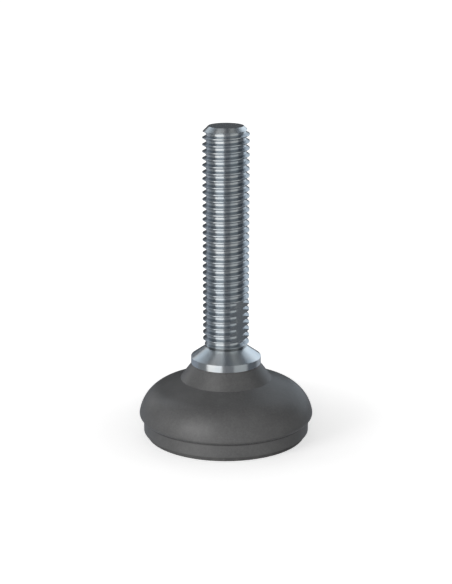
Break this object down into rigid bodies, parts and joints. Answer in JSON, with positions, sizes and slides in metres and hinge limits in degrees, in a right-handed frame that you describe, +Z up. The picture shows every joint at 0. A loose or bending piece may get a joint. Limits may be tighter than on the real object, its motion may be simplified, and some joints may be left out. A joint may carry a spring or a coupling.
{
  "type": "machine levelling foot",
  "caption": "Machine levelling foot: a steel stud with an M12 thread and spanner flats, ball-jointed into a moulded plastic base with a rubber grip pad.",
  "frame": {"origin": "centre of the grip pad's underside, on the floor, on the stud's axis", "axes": "+Z up along the stud's axis; the picture's camera looks along +Y; the first spanner flat faces between +X and -Y"},
  "size_m": [0.0454, 0.0454, 0.0815],
  "materials": {
    "zinc_steel": "turned steel with a bluish bright zinc plating",
    "moulded_plastic": "matte dark grey glass-filled polyamide with a fine moulded grain",
    "pad_rubber": "matte dark grey nitrile rubber",
    "spring_wire": "drawn spring steel wire"
  },
  "bodies": {
    "base": {"foot_base": "moulded_plastic", "grip_pad": "pad_rubber"},
    "ring": {"snap_ring": "spring_wire"},
    "stud": {"threaded_stud": "zinc_steel"}
  },
  "joints": [
    {"name": "stud_spin", "type": "hinge", "parent": "base", "child": "ring", "pos_m": [0, 0, 0.01098], "axis": [0, 0, 1], "continuous": true},
    {"name": "stud_tilt", "type": "hinge", "parent": "ring", "child": "stud", "pos_m": [0, 0, 0.01098], "axis": [0, 1, 0], "range_deg": [-10, 10]}
  ]
}
